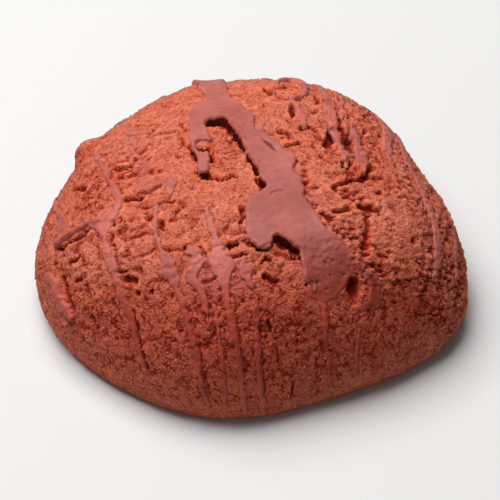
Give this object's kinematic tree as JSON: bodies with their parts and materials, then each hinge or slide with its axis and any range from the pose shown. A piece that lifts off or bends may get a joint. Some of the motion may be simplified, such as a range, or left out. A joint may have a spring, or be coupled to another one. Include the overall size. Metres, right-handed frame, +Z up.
{
  "type": "cookie",
  "caption": "Thick domed chocolate cookie with a cracked, craggy top, a soft rounded rim, a flat underside, and a poured band and thin streaks of milk chocolate.",
  "frame": {"origin": "middle of the flat underside, on the surface that the cookie lies on", "axes": "+Z up through the domed top; -Y towards the side shown to the viewer; +X to the viewer's right"},
  "size_m": [0.0709, 0.0668, 0.0284],
  "materials": {
    "biscuit": "matte sandy baked crumb, orange brown",
    "chocolate": "smooth set milk chocolate with a soft sheen"
  },
  "bodies": {
    "root": {"cookie": "biscuit"}
  },
  "joints": []
}
